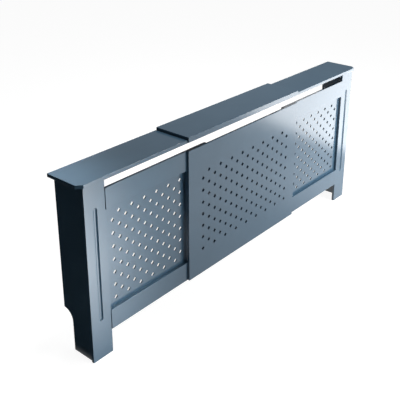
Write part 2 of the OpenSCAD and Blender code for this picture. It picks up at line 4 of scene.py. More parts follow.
import bmesh
import bpy
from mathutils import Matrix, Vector

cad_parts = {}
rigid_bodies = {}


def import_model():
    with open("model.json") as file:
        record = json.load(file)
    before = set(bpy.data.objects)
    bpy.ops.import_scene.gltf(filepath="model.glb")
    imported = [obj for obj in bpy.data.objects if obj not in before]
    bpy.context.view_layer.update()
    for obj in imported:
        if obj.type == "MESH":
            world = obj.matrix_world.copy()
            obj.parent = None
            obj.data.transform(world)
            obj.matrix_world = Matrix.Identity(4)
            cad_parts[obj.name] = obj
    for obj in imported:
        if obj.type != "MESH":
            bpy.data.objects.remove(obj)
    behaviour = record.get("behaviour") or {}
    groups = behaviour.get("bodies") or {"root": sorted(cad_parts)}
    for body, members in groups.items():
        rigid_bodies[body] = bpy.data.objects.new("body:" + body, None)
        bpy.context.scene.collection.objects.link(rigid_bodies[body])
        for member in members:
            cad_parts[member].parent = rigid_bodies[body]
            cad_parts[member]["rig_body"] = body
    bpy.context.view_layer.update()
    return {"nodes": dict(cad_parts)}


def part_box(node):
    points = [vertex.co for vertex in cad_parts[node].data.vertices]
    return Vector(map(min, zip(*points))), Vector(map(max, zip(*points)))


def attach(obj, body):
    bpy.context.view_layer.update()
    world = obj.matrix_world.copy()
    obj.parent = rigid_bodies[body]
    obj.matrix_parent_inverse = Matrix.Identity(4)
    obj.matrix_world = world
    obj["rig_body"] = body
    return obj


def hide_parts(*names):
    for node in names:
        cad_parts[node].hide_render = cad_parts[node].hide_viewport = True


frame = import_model()
nodes = frame["nodes"]


# The camera stands in front of the cabinet and past its left end, above the shelf, and looks down along the
# front. It isn't tilted sideways, and its frame is shifted down, as in a picture cropped to the object.
camera_place = (-2.4327, -1.8807, 1.9069)
look_down = 20.607
look_right = 49.347
picture_width = 400
focal_pixels = 689.33
shift_pixels = 80.48
camera = bpy.data.objects.new("camera", bpy.data.cameras.new("camera"))
bpy.context.scene.collection.objects.link(camera)
camera.location = camera_place
camera.rotation_euler = (math.radians(90 - look_down), 0, math.radians(-look_right))
camera.data.sensor_width = 36
camera.data.lens = camera.data.sensor_width * focal_pixels / picture_width
camera.data.shift_y = -shift_pixels / picture_width
camera.data.clip_end = 60
bpy.context.scene.camera = camera
bpy.context.scene.view_settings.view_transform = "Standard"


# Front posts: fibreboard on end with a round-bottomed groove routed down the face, sprayed in slate blue
# satin. Every edge is eased by hand before it is sprayed, so the paint catches a thin line of light on it.
def add(tree, kind, settings=None, **values):
    """A node of this kind in the tree, with its settings and input values."""
    made = tree.nodes.new(kind)
    for name, value in (settings or {}).items():
        setattr(made, name, value)
    for name, value in values.items():
        made.inputs[name.replace("_", " ")].default_value = value
    return made


def new_finish(name, metal=0.0):
    """A material, its node tree, its shader and the object coordinates that its patterns lie on."""
    material = bpy.data.materials.new(name)
    material.use_nodes = True
    tree = material.node_tree
    shader = tree.nodes["Principled BSDF"]
    shader.inputs["Metallic"].default_value = metal
    return material, tree, shader, add(tree, "ShaderNodeTexCoord").outputs["Object"]


def two_tone(tree, fac, dark, light, low=0.3, high=0.7):
    """A colour that goes from dark to light as fac goes from low to high."""
    made = add(tree, "ShaderNodeValToRGB")
    for stop, place, colour in zip(made.color_ramp.elements, (low, high), (dark, light)):
        stop.position = place
        stop.color = (*colour, 1)
    tree.links.new(fac, made.inputs["Fac"])
    return made.outputs["Color"]


def noise(tree, place, scale, detail=2.0, distortion=0.0):
    """Soft noise at this scale."""
    made = add(tree, "ShaderNodeTexNoise", Scale=scale, Detail=detail, Distortion=distortion)
    tree.links.new(place, made.inputs["Vector"])
    return made.outputs["Fac"]


def spread(tree, fac, low, high):
    """fac, taken from its usual middle range to low and high."""
    made = add(tree, "ShaderNodeMapRange", From_Min=0.3, From_Max=0.7, To_Min=low, To_Max=high)
    tree.links.new(fac, made.inputs["Value"])
    return made.outputs["Result"]


def bump(tree, height, strength, distance, under=None):
    """A surface raised by height, over another such surface where one is given."""
    made = add(tree, "ShaderNodeBump", Strength=strength, Distance=distance)
    tree.links.new(height, made.inputs["Height"])
    if under:
        tree.links.new(under, made.inputs["Normal"])
    return made.outputs["Normal"]


slate_paint, tree, shader, place = new_finish("slate_paint")
pigment = noise(tree, place, scale=9, detail=4)
tree.links.new(
    two_tone(tree, pigment, dark=(0.054, 0.108, 0.164), light=(0.060, 0.117, 0.175)),
    shader.inputs["Base Color"],
)
satin = spread(tree, noise(tree, place, scale=24, detail=5), low=0.16, high=0.20)
tree.links.new(satin, shader.inputs["Roughness"])
orange_peel = bump(tree, noise(tree, place, scale=420, detail=1), strength=0.05, distance=0.0004)
sanding = noise(tree, place, scale=35, detail=2)
sanded_board = bump(tree, sanding, strength=0.05, distance=0.0010, under=orange_peel)
tree.links.new(sanded_board, shader.inputs["Normal"])
shader.inputs["IOR"].default_value = 1.5


board_ease = 0.0008
merge_distance = 1e-6
flat_angle = math.radians(1)
sharp_angle = math.radians(35)


def eased_mesh(name, ease, least=0.004):
    """A copy of a CAD board with its sharp edges rounded, but for those shorter than least."""
    bm = bmesh.new()
    bm.from_mesh(nodes[name].data)
    bmesh.ops.remove_doubles(bm, verts=bm.verts, dist=merge_distance)
    bmesh.ops.dissolve_limit(bm, angle_limit=flat_angle, verts=bm.verts, edges=bm.edges)
    sharp = [
        edge for edge in bm.edges
        if len(edge.link_faces) == 2
        and edge.calc_face_angle(0) > sharp_angle
        and edge.calc_length() > least
    ]
    bmesh.ops.bevel(bm, geom=sharp, offset=ease, segments=3, profile=0.5, affect="EDGES")
    mesh = bpy.data.meshes.new(name)
    bm.to_mesh(mesh)
    bm.free()
    return mesh


def plain_mesh(piece):
    """The piece with its modifiers worked in, as a plain mesh."""
    bpy.context.view_layer.update()
    graph = bpy.context.evaluated_depsgraph_get()
    mesh = bpy.data.meshes.new_from_object(piece.evaluated_get(graph), depsgraph=graph)
    piece.modifiers.clear()
    return mesh


def set_in_place(name, mesh, material, node, smooth=35):
    """A finished piece for a CAD node: smooth at its edges, flat on its faces, and on the node's body."""
    mesh.materials.clear()
    mesh.materials.append(material)
    mesh.shade_smooth()
    mesh.set_sharp_from_angle(angle=math.radians(smooth))
    piece = bpy.data.objects.new(name, mesh)
    bpy.context.scene.collection.objects.link(piece)
    flatten = piece.modifiers.new("flat faces", "WEIGHTED_NORMAL")
    flatten.keep_sharp = True
    piece.data = plain_mesh(piece)
    piece.data.name = name
    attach(piece, nodes[node]["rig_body"])
    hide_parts(node)


groove_width = 0.020
groove_depth = 0.0065
groove_low = 0.178
groove_high = 0.685
nose_radius = (groove_width ** 2 / 4 + groove_depth ** 2) / (2 * groove_depth)


def routed(mesh, low, high):
    """The post after a round-nosed cutter was plunged in at the groove's one end and lifted at its other."""
    bm = bmesh.new()
    bmesh.ops.create_uvsphere(bm, u_segments=64, v_segments=33, radius=nose_radius)
    for vert in bm.verts:
        end = groove_low + groove_width / 2 if vert.co.z < 0 else groove_high - groove_width / 2
        vert.co += Vector(((low.x + high.x) / 2, low.y + groove_depth - nose_radius, end))
    path_mesh = bpy.data.meshes.new("cutter_path")
    bm.to_mesh(path_mesh)
    bm.free()
    cutter = bpy.data.objects.new("cutter_path", path_mesh)
    post = bpy.data.objects.new("post", mesh)
    for made in (cutter, post):
        bpy.context.scene.collection.objects.link(made)
    cut = post.modifiers.new("groove", "BOOLEAN")
    cut.operation = "DIFFERENCE"
    cut.solver = "EXACT"
    cut.object = cutter
    grooved = plain_mesh(post)
    for made in (cutter, post):
        bpy.data.objects.remove(made)
    return grooved


for side in ("left", "right"):
    node = side + "_post"
    grooved_post = routed(eased_mesh(node, board_ease), *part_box(node))
    set_in_place(side + "_front_post", grooved_post, slate_paint, node, smooth=30)


# Side panels: the same board, glued and screwed behind the posts, a little way in from their outer edges.
# The lower back corner is cut away with a quarter round, so that the cabinet clears the skirting board.
for side in ("left", "right"):
    node = side + "_side_panel"
    set_in_place(side + "_end_panel", eased_mesh(node, board_ease), slate_paint, node)


# Outer shelves: the same board with one chamfered front corner and its edges rounded a little more.
# Each lies on its post and side panel, dowelled to both, with its back edge at the wall.
shelf_ease = 0.0010
for side in ("left", "right"):
    node = side + "_shelf"
    set_in_place(side + "_end_shelf", eased_mesh(node, shelf_ease), slate_paint, node)


# Rails: thinner board along the top and the foot of each front, sprayed with the post.
# Each is dowelled to the post at its outer end and stands a little proud of it.
for side in ("left", "right"):
    for level in ("top", "bottom"):
        rail = side + "_" + level
        node = rail + "_rail"
        set_in_place(rail + "_front_rail", eased_mesh(node, board_ease), slate_paint, node)


# Packing strips: thin board glued behind the rails, which brings the grille's seat level with the post's
# back. The lower one's upper edge shows as the inner part of the ledge under the grille.
packing_ease = 0.0005
for side in ("left", "right"):
    for strip in ("top_packing", "bottom_packing"):
        node = side + "_" + strip
        set_in_place(node + "_strip", eased_mesh(node, packing_ease), slate_paint, node)


# Inner stiles: a board as thick as the post, upright between the rails at their inner ends. The centre panel
# hides nearly all of it, and only its edge shows, as a dark upright line beside the grille.
for side in ("left", "right"):
    node = side + "_inner_stile"
    set_in_place(node + "_board", eased_mesh(node, board_ease), slate_paint, node)


# Grilles: thin sheet with square holes on their corners, in columns that are staggered by half a pitch.
# One cutter makes every hole and rounds over its rim. Each is sprayed like the frame and screwed behind it.
def new_tree(name, numbers, counts=()):
    """A Geometry Nodes tree with these inputs and a finish, its given values and its way to link sockets."""
    tree = bpy.data.node_groups.new(name, "GeometryNodeTree")
    for way in ("INPUT", "OUTPUT"):
        tree.interface.new_socket("Geometry", in_out=way, socket_type="NodeSocketGeometry")
    inputs = [(count, "NodeSocketInt") for count in counts]
    inputs += [(number, "NodeSocketFloat") for number in numbers]
    for label, kind in inputs + [("Finish", "NodeSocketMaterial")]:
        tree.interface.new_socket(label, in_out="INPUT", socket_type=kind)
    return tree, tree.nodes.new("NodeGroupInput").outputs, tree.links.new


def sums(tree, operation, a, b):
    """Two sockets or numbers, joined by one sum."""
    made = add(tree, "ShaderNodeMath", {"operation": operation})
    for value, socket in ((a, made.inputs[0]), (b, made.inputs[1])):
        if isinstance(value, bpy.types.NodeSocket):
            tree.links.new(value, socket)
        else:
            socket.default_value = value
    return made.outputs[0]


def plus(tree, a, b):
    return sums(tree, "ADD", a, b)


def minus(tree, a, b):
    return sums(tree, "SUBTRACT", a, b)


def times(tree, a, b):
    return sums(tree, "MULTIPLY", a, b)


def chosen(tree, index, values):
    """The value that stands at this index in a short table."""
    made = add(tree, "GeometryNodeIndexSwitch", {"data_type": "FLOAT"})
    while len(made.index_switch_items) < len(values):
        made.index_switch_items.new()
    tree.links.new(index, made.inputs["Index"])
    for socket, value in zip(made.inputs[1:], values):
        socket.default_value = value
    return made.outputs[0]


# The rim's quarter round in three steps, from outside the sheet inwards, as shares of the rim's size.
rim_depth_shares = (-0.134, 0.134, 0.5, 1.0)
rim_flare_shares = (1.5, 0.5, 0.134, 0.0)


def piercing_tree():
    """Cuts staggered square holes, on their corners and with rounded rims, through a board on edge."""
    sizes = ("First Column", "Column Pitch", "Middle Height", "Row Pitch", "Middle Depth", "Thickness",
             "Hole Side", "Rim")
    tree, given, link = new_tree("pierce", sizes, counts=("Columns", "Rows"))

    # One point for each hole
    index = tree.nodes.new("GeometryNodeInputIndex").outputs[0]
    column = sums(tree, "FLOOR", sums(tree, "DIVIDE", plus(tree, index, 0.5), given["Rows"]), 0)
    row = minus(tree, index, times(tree, column, given["Rows"]))
    stagger = times(tree, minus(tree, sums(tree, "MODULO", column, 2), 0.5), 0.5)
    middle_row = times(tree, minus(tree, given["Rows"], 1), 0.5)
    level = plus(tree, minus(tree, middle_row, row), stagger)
    spot = add(tree, "ShaderNodeCombineXYZ")
    link(plus(tree, given["First Column"], times(tree, column, given["Column Pitch"])), spot.inputs["X"])
    link(given["Middle Depth"], spot.inputs["Y"])
    link(plus(tree, given["Middle Height"], times(tree, level, given["Row Pitch"])), spot.inputs["Z"])
    line = add(tree, "GeometryNodeMeshLine")
    link(times(tree, given["Columns"], given["Rows"]), line.inputs["Count"])
    spots = add(tree, "GeometryNodeSetPosition")
    link(line.outputs["Mesh"], spots.inputs["Geometry"])
    link(spot.outputs["Vector"], spots.inputs["Position"])

    # The cutter: a square bar that flares at both ends to round over the rims
    stations = 2 * len(rim_depth_shares)
    station = sums(tree, "MINIMUM", index, minus(tree, stations - 1, index))
    inward = times(tree, given["Rim"], chosen(tree, station, rim_depth_shares))
    flare = times(tree, given["Rim"], chosen(tree, station, rim_flare_shares))
    face = minus(tree, times(tree, sums(tree, "GREATER_THAN", index, (stations - 1) / 2), 2), 1)
    along = times(tree, face, minus(tree, times(tree, given["Thickness"], 0.5), inward))
    bar_spot = add(tree, "ShaderNodeCombineXYZ")
    link(along, bar_spot.inputs["Z"])
    bar_line = add(tree, "GeometryNodeMeshLine", Count=stations)
    bar_points = add(tree, "GeometryNodeSetPosition")
    link(bar_line.outputs["Mesh"], bar_points.inputs["Geometry"])
    link(bar_spot.outputs["Vector"], bar_points.inputs["Position"])
    bar_curve = add(tree, "GeometryNodeMeshToCurve")
    link(bar_points.outputs["Geometry"], bar_curve.inputs["Mesh"])
    bar_radius = add(tree, "GeometryNodeSetCurveRadius")
    link(bar_curve.outputs["Curve"], bar_radius.inputs["Curve"])
    half_diagonal = times(tree, given["Hole Side"], math.sqrt(0.5))
    link(plus(tree, half_diagonal, times(tree, flare, math.sqrt(2))), bar_radius.inputs["Radius"])
    square = add(tree, "GeometryNodeCurvePrimitiveCircle", Resolution=4, Radius=1.0)
    cutter = add(tree, "GeometryNodeCurveToMesh", Fill_Caps=True)
    link(bar_radius.outputs["Curve"], cutter.inputs["Curve"])
    link(square.outputs["Curve"], cutter.inputs["Profile Curve"])
    link(tree.nodes.new("GeometryNodeInputRadius").outputs["Radius"], cutter.inputs["Scale"])
    laid = add(tree, "GeometryNodeTransform", Rotation=(math.radians(90), 0, 0))
    link(cutter.outputs["Mesh"], laid.inputs["Geometry"])

    # All the holes at once
    cutters = add(tree, "GeometryNodeInstanceOnPoints")
    link(spots.outputs["Geometry"], cutters.inputs["Points"])
    link(laid.outputs["Geometry"], cutters.inputs["Instance"])
    cutters_mesh = add(tree, "GeometryNodeRealizeInstances")
    link(cutters.outputs["Instances"], cutters_mesh.inputs["Geometry"])
    pierced = add(tree, "GeometryNodeMeshBoolean", {"operation": "DIFFERENCE", "solver": "EXACT"})
    link(given["Geometry"], pierced.inputs["Mesh 1"])
    link(cutters_mesh.outputs["Geometry"], pierced.inputs["Mesh 2"])
    real = add(tree, "GeometryNodeRealizeInstances")
    link(pierced.outputs["Mesh"], real.inputs["Geometry"])
    painted = add(tree, "GeometryNodeSetMaterial")
    link(real.outputs["Geometry"], painted.inputs["Geometry"])
    link(given["Finish"], painted.inputs["Material"])
    link(painted.outputs["Geometry"], tree.nodes.new("NodeGroupOutput").inputs["Geometry"])
    return tree


def worked(mesh, tree, **values):
    """The mesh after a Geometry Nodes tree has worked on it with these values."""
    piece = bpy.data.objects.new("blank", mesh)
    bpy.context.scene.collection.objects.link(piece)
    work = piece.modifiers.new("work", "NODES")
    work.node_group = tree
    for socket in tree.interface.items_tree:
        key = socket.name.lower().replace(" ", "_")
        if socket.in_out == "INPUT" and key in values:
            work[socket.identifier] = values[key]
    made = plain_mesh(piece)
    bpy.data.objects.remove(piece)
    return made


def blank_board(node, ease):
    """A plain board with the CAD node's outline, its edges eased, before anything is cut in it."""
    low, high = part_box(node)
    bm = bmesh.new()
    bmesh.ops.create_cube(bm, size=1)
    for vert in bm.verts:
        vert.co = Vector((low[i] if vert.co[i] < 0 else high[i]) for i in range(3))
    bmesh.ops.bevel(bm, geom=bm.edges[:], offset=ease, segments=3, profile=0.5, affect="EDGES")
    mesh = bpy.data.meshes.new(node)
    bm.to_mesh(mesh)
    bm.free()
    return mesh


def pierced_sheet(node, ease, columns, first_column, column_pitch, middle_height):
    """A sheet for the CAD node, with its edges eased and its hole pattern cut."""
    low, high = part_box(node)
    return worked(
        blank_board(node, ease), pierce, columns=columns, rows=hole_rows, first_column=first_column,
        column_pitch=column_pitch, middle_height=middle_height, row_pitch=row_pitch,
        middle_depth=(low.y + high.y) / 2, thickness=high.y - low.y,
        hole_side=hole_side, rim=hole_rim, finish=slate_paint,
    )


pierce = piercing_tree()
hole_side = 0.0137
hole_rim = 0.0004
hole_rows = 7
row_pitch = 0.0591
grille_ease = 0.0005
grille_columns = 12
grille_pitch = 0.0357
grille_margin = 0.043
grille_field_drop = 0.002
for side, way in (("left", 1), ("right", -1)):
    node = side + "_grille"
    low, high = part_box(node)
    rail_low, rail_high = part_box(side + "_top_rail")
    post_edge = rail_low.x if way > 0 else rail_high.x
    grille = pierced_sheet(
        node, grille_ease, grille_columns, first_column=post_edge + way * grille_margin,
        column_pitch=way * grille_pitch, middle_height=(low.z + high.z) / 2 - grille_field_drop,
    )
    set_in_place(side + "_pierced_grille", grille, slate_paint, node)


# Battens: square pine, left bare, in the corner behind each post and under each shelf.
# Screws through them hold the post, the side panel and the shelf together, out of sight.
def pine(name, grain):
    """Bare pine whose grain runs along one axis, and whose figure is much narrower than it is long."""
    material, tree, shader, place = new_finish(name)
    narrowing = 14
    scale = tuple(1 if axis == grain else narrowing for axis in range(3))
    lie = add(tree, "ShaderNodeMapping", Scale=scale)
    tree.links.new(place, lie.inputs["Vector"])
    figure = noise(tree, lie.outputs["Vector"], scale=9, detail=5, distortion=0.6)
    fibre = noise(tree, lie.outputs["Vector"], scale=60, detail=3)
    both = plus(tree, times(tree, figure, 0.7), times(tree, fibre, 0.3))
    colour = two_tone(tree, both, dark=(0.36, 0.23, 0.12), light=(0.56, 0.42, 0.26), low=0.35, high=0.65)
    tree.links.new(colour, shader.inputs["Base Color"])
    tree.links.new(spread(tree, figure, low=0.55, high=0.75), shader.inputs["Roughness"])
    tree.links.new(bump(tree, fibre, strength=0.25, distance=0.0004), shader.inputs["Normal"])
    return material


pine_along_wall = pine("pine_along_wall", grain=0)
pine_to_wall = pine("pine_to_wall", grain=1)
pine_upright = pine("pine_upright", grain=2)
batten_ease = 0.0007
for side in ("left", "right"):
    for batten, material in (("corner_batten", pine_upright), ("shelf_batten", pine_to_wall)):
        node = side + "_" + batten
        set_in_place(node + "_pine", eased_mesh(node, batten_ease), material, node)


# Dowels: beech pins with chamfered ends, each glued into both of the boards that it joins.
# They lie inside the joints, so that nothing of them shows on the finished cabinet.
beech, tree, shader, place = new_finish("beech")
fleck = add(tree, "ShaderNodeMapping", Scale=(40, 40, 12))
tree.links.new(place, fleck.inputs["Vector"])
tree.links.new(
    two_tone(
        tree, noise(tree, fleck.outputs["Vector"], scale=12, detail=3),
        dark=(0.50, 0.32, 0.17), light=(0.66, 0.46, 0.27),
    ),
    shader.inputs["Base Color"],
)
tree.links.new(spread(tree, noise(tree, place, scale=90), low=0.5, high=0.65), shader.inputs["Roughness"])
for side in ("left", "right"):
    finishes = nodes[side + "_dowels"].data.materials
    finishes.clear()
    finishes.append(beech)


# Screws: zinc-plated steel with a cross recess and a rolled thread.
# Countersunk ones hold the battens and strips, and pan heads hold the grilles and the wall brackets.
bright_zinc, tree, shader, place = new_finish("bright_zinc", metal=1.0)
spangle = noise(tree, place, scale=160, detail=4)
tree.links.new(
    two_tone(tree, spangle, dark=(0.55, 0.56, 0.58), light=(0.70, 0.71, 0.72)),
    shader.inputs["Base Color"],
)
bright_and_dull = spread(tree, noise(tree, place, scale=320, detail=3), low=0.24, high=0.42)
tree.links.new(bright_and_dull, shader.inputs["Roughness"])
plating_grain = bump(tree, noise(tree, place, scale=900, detail=2), strength=0.12, distance=0.0002)
tree.links.new(plating_grain, shader.inputs["Normal"])


def screw_tree():
    """Sets a screw at each point, its head's top on the point and its tip along the point's heading."""
    sizes = ("Length", "Shank Radius", "Head Height", "Head Top Radius", "Head Under Radius", "Tip Length",
             "Tip Radius", "Thread Pitch", "Thread Depth", "Recess Width", "Recess Length", "Recess Depth")
    tree, given, link = new_tree("screws", sizes)

    def raised(geometry, base):
        """The geometry, lifted to start at this height."""
        at = add(tree, "ShaderNodeCombineXYZ")
        link(base, at.inputs["Z"])
        moved = add(tree, "GeometryNodeTransform")
        link(geometry, moved.inputs["Geometry"])
        link(at.outputs["Vector"], moved.inputs["Translation"])
        return moved.outputs["Geometry"]

    def cone(top, bottom, height, base, corners):
        """A round step of the screw: it rises from base by height."""
        made = add(tree, "GeometryNodeMeshCone", {"fill_type": "NGON"}, Vertices=corners)
        for value, name in ((top, "Radius Top"), (bottom, "Radius Bottom"), (height, "Depth")):
            link(value, made.inputs[name])
        return raised(made.outputs["Mesh"], base)

    # The head, with two crossed slots cut into its top
    head_corners, shank_corners = 24, 16
    head_base = times(tree, given["Head Height"], -1)
    head = cone(
        given["Head Top Radius"], given["Head Under Radius"], given["Head Height"], head_base, head_corners,
    )
    for turn in (0, 90):
        bar = add(tree, "GeometryNodeMeshCube")
        size = add(tree, "ShaderNodeCombineXYZ")
        link(given["Recess Length"], size.inputs["X"])
        link(given["Recess Width"], size.inputs["Y"])
        link(times(tree, given["Recess Depth"], 2), size.inputs["Z"])
        link(size.outputs["Vector"], bar.inputs["Size"])
        turned = add(tree, "GeometryNodeTransform", Rotation=(0, 0, math.radians(turn)))
        link(bar.outputs["Mesh"], turned.inputs["Geometry"])
        cut = add(tree, "GeometryNodeMeshBoolean", {"operation": "DIFFERENCE", "solver": "EXACT"})
        link(head, cut.inputs["Mesh 1"])
        link(turned.outputs["Geometry"], cut.inputs["Mesh 2"])
        head = cut.outputs["Mesh"]

    # The shank and the tip
    down = times(tree, given["Length"], -1)
    core = minus(tree, given["Shank Radius"], given["Thread Depth"])
    shank_height = minus(tree, minus(tree, given["Length"], given["Tip Length"]), given["Head Height"])
    shank_base = plus(tree, down, given["Tip Length"])
    shank = cone(core, core, shank_height, shank_base, shank_corners)
    tip = cone(core, given["Tip Radius"], given["Tip Length"], down, shank_corners)

    # The thread: a three-cornered ridge wound along the shank
    ridge = add(tree, "GeometryNodeCurveSpiral", Resolution=14)
    link(sums(tree, "DIVIDE", shank_height, given["Thread Pitch"]), ridge.inputs["Rotations"])
    for name in ("Start Radius", "End Radius"):
        link(core, ridge.inputs[name])
    link(shank_height, ridge.inputs["Height"])
    corner = add(tree, "GeometryNodeCurvePrimitiveCircle", Resolution=3)
    link(given["Thread Depth"], corner.inputs["Radius"])
    thread = add(tree, "GeometryNodeCurveToMesh", Fill_Caps=True)
    link(ridge.outputs["Curve"], thread.inputs["Curve"])
    link(corner.outputs["Curve"], thread.inputs["Profile Curve"])

    # One screw at each point, turned to its heading
    screw = add(tree, "GeometryNodeJoinGeometry")
    for part in (head, shank, tip, raised(thread.outputs["Mesh"], shank_base)):
        link(part, screw.inputs["Geometry"])
    heading = add(tree, "GeometryNodeInputNamedAttribute", {"data_type": "FLOAT_VECTOR"}, Name="heading")
    aim = add(tree, "FunctionNodeAlignRotationToVector", {"axis": "Z"})
    back = add(tree, "ShaderNodeVectorMath", {"operation": "SCALE"})
    back.inputs["Scale"].default_value = -1
    link(heading.outputs["Attribute"], back.inputs[0])
    link(back.outputs["Vector"], aim.inputs["Vector"])
    placed = add(tree, "GeometryNodeInstanceOnPoints")
    link(given["Geometry"], placed.inputs["Points"])
    link(screw.outputs["Geometry"], placed.inputs["Instance"])
    link(aim.outputs["Rotation"], placed.inputs["Rotation"])
    real = add(tree, "GeometryNodeRealizeInstances")
    link(placed.outputs["Instances"], real.inputs["Geometry"])
    plated = add(tree, "GeometryNodeSetMaterial")
    link(real.outputs["Geometry"], plated.inputs["Geometry"])
    link(given["Finish"], plated.inputs["Material"])
    link(plated.outputs["Geometry"], tree.nodes.new("NodeGroupOutput").inputs["Geometry"])
    return tree


def solid_points(node):
    """The corner points of each separate solid in a CAD node."""
    bm = bmesh.new()
    bm.from_mesh(nodes[node].data)
    bmesh.ops.remove_doubles(bm, verts=bm.verts, dist=merge_distance)
    bm.verts.ensure_lookup_table()
    seen, found = set(), []
    for start in bm.verts:
        if start in seen:
            continue
        seen.add(start)
        reached, ahead = [], [start]
        while ahead:
            vert = ahead.pop()
            reached.append(vert.co.copy())
            for edge in vert.link_edges:
                other = edge.other_vert(vert)
                if other not in seen:
                    seen.add(other)
                    ahead.append(other)
        found.append(reached)
    bm.free()
    return found


end_band = 0.0004


def screw_spots(node):
    """A mesh of one point at each screw's head, which knows the way that the screw points."""
    spots, headings = [], []
    for points in solid_points(node):
        low = Vector(min(p[i] for p in points) for i in range(3))
        high = Vector(max(p[i] for p in points) for i in range(3))
        middle = (low + high) / 2
        axis = max(range(3), key=lambda i: high[i] - low[i])
        width = {}
        for end in (low[axis], high[axis]):
            near = [p for p in points if abs(p[axis] - end) < end_band]
            width[end] = max(math.hypot(*(p[i] - middle[i] for i in range(3) if i != axis)) for p in near)
        head = low[axis] if width[low[axis]] > width[high[axis]] else high[axis]
        middle[axis] = head
        heading = Vector((0, 0, 0))
        heading[axis] = 1 if head == low[axis] else -1
        spots.append(middle)
        headings.append(heading)
    mesh = bpy.data.meshes.new(node)
    mesh.from_pydata(spots, [], [])
    named = mesh.attributes.new("heading", "FLOAT_VECTOR", "POINT")
    named.data.foreach_set("vector", [part for heading in headings for part in heading])
    return mesh


screws = screw_tree()
shank_radius = 0.00175
head_radius = 0.0035
pan_height = 0.002
pan_top_share = 0.72
tip_length = 0.003
tip_share = 0.3
thread_pitch = 0.0016
thread_depth = 0.00035
recess_width = 0.0009
recess_share = 1.24
recess_depth = 0.001


def set_screws(node, length, pan=False):
    """Screws of one length at the CAD screws' places, countersunk or with pan heads."""
    top_radius = head_radius * pan_top_share if pan else head_radius
    made = worked(
        screw_spots(node), screws, length=length, shank_radius=shank_radius,
        head_height=pan_height if pan else head_radius - shank_radius,
        head_top_radius=top_radius, head_under_radius=head_radius if pan else shank_radius,
        tip_length=tip_length, tip_radius=(shank_radius - thread_depth) * tip_share,
        thread_pitch=thread_pitch, thread_depth=thread_depth, recess_width=recess_width,
        recess_length=top_radius * recess_share, recess_depth=recess_depth, finish=bright_zinc,
    )
    set_in_place(node + "_threaded", made, bright_zinc, node)


batten_screw_length = 0.029
grille_screw_length = 0.018
bracket_screw_length = 0.014
for side in ("left", "right"):
    set_screws(side + "_batten_screws", batten_screw_length)
    set_screws(side + "_grille_screws", grille_screw_length, pan=True)
    set_screws(side + "_bracket_screws", bracket_screw_length, pan=True)


# Clamp bolts, washers and wing nuts: zinc-plated steel. A bolt goes from its countersunk seat in a rail or
# shelf through a slotted strip, and its wing nut clamps the two on a washer once the width is set.
for side in ("left", "right"):
    for part, ease, least in (
        ("clamp_bolts", 0.0002, 0.0), ("washers", 0.0003, 0.0), ("wing_nuts", 0.0005, 0.002),
    ):
        node = side + "_" + part
        set_in_place(node + "_steel", eased_mesh(node, ease, least), bright_zinc, node)


# Wall brackets: zinc-plated steel strip bent to an angle, screwed under each outer shelf at its back.
# The two holes in the upright leg take the screws that hold the cabinet to the wall.
bracket_ease = 0.0003
for side in ("left", "right"):
    node = side + "_wall_bracket"
    bracket = eased_mesh(node, bracket_ease, least=0.002)
    set_in_place(node + "_steel", bracket, bright_zinc, node)


# Centre panel: one painted board, thicker than the grilles, with wider columns of the same holes.
# It slides over the rails' faces, held to them by the slotted strips at its back.
low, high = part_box("centre_panel")
panel_ease = 0.0010
panel_pitch = 0.0409
panel_columns = 17
panel_field_shift = 0.004
panel = pierced_sheet(
    "centre_panel", panel_ease, panel_columns,
    first_column=(low.x + high.x) / 2 + panel_field_shift - panel_pitch * (panel_columns - 1) / 2,
    column_pitch=panel_pitch, middle_height=(low.z + high.z) / 2,
)
set_in_place("pierced_centre_panel", panel, slate_paint, "centre_panel")


# Joining strips behind the panel and under the centre shelf: bare pine with a long slot on either side.
# Each is held off its board by a short spacer, and two screws go through both of them into the board.
strip_ease = 0.0006
for node, material in (
    ("panel_strip_top", pine_along_wall), ("panel_strip_bottom", pine_along_wall),
    ("shelf_strip", pine_along_wall), ("panel_spacer_top", pine_upright),
    ("panel_spacer_bottom", pine_upright), ("shelf_spacer", pine_to_wall),
):
    set_in_place(node + "_pine", eased_mesh(node, strip_ease), material, node)
for node, axis in (("panel_strip_screws", 1), ("shelf_strip_screws", 2)):
    low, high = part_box(node)
    set_screws(node, high[axis] - low[axis])


# Centre shelf: thinner painted board that lies over the outer shelves and slides along them.
# A lip glued along its front edge hides the gap between their inner ends.
for node in ("centre_shelf", "centre_shelf_lip"):
    set_in_place(node + "_board", eased_mesh(node, shelf_ease), slate_paint, node)


# Floor: a plain white sheet to the camera, which sees it lit evenly, with the cabinet's soft shadow on it.
# In the paint's gloss it glows in patches, which are painted reflections: brightest at the left front
# and past the right end, and dark beyond the left end, which paints shade on the cabinet's left end.
def light_path(tree):
    """Two values: 1 for what the camera sees directly, and 1 for what shows in gloss or through glass."""
    path = tree.nodes.new("ShaderNodeLightPath").outputs
    return path["Is Camera Ray"], sums(tree, "MAXIMUM", path["Is Glossy Ray"], path["Is Transmission Ray"])


def joined(tree, fac, first, second):
    """Two shaders, mixed by fac."""
    made = add(tree, "ShaderNodeMixShader")
    tree.links.new(fac, made.inputs[0])
    tree.links.new(first, made.inputs[1])
    tree.links.new(second, made.inputs[2])
    return made.outputs[0]


def ramp(tree, value, start, stop, low, high, change="SMOOTHSTEP"):
    """low before start, high after stop, and a soft or even change between them."""
    made = add(
        tree, "ShaderNodeMapRange", {"interpolation_type": change},
        From_Min=start, From_Max=stop, To_Min=low, To_Max=high,
    )
    tree.links.new(value, made.inputs["Value"])
    return made.outputs["Result"]


